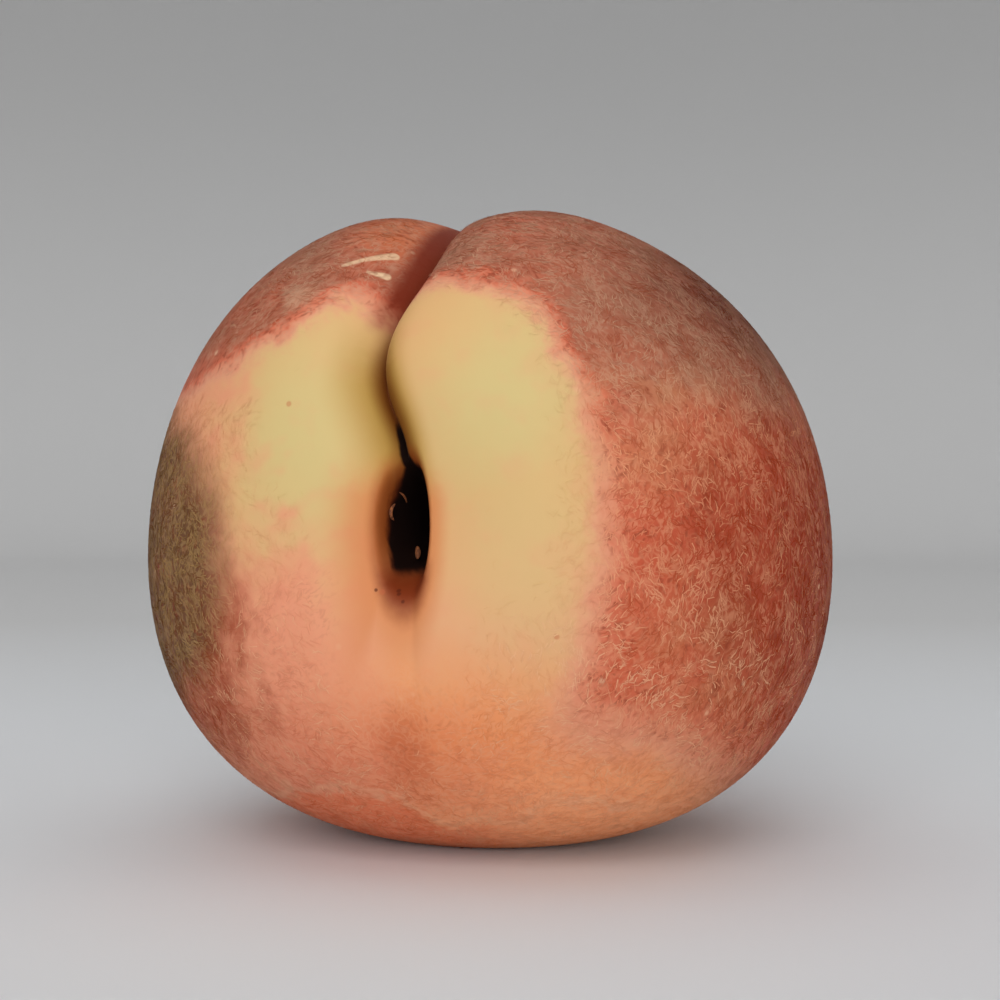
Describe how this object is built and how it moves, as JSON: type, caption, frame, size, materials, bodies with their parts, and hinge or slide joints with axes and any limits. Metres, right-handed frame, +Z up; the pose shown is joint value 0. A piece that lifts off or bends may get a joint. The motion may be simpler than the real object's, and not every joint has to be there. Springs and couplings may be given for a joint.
{
  "type": "peach",
  "caption": "Whole ripe peach lying on its side, with its suture, its deep stem cavity and a small flat spot to rest on.",
  "frame": {"origin": "middle of the small flat spot that the fruit rests on", "axes": "+Z up; the fruit's own axis lies along Y with the stem cavity towards -Y and the tip towards +Y; X goes across the cheeks"},
  "size_m": [0.075, 0.0669, 0.0689],
  "materials": {
    "peach_skin": "matte downy skin, yellow round the stem cavity with a red blush over the shoulders and the cheeks"
  },
  "bodies": {
    "root": {"peach": "peach_skin"}
  },
  "joints": []
}
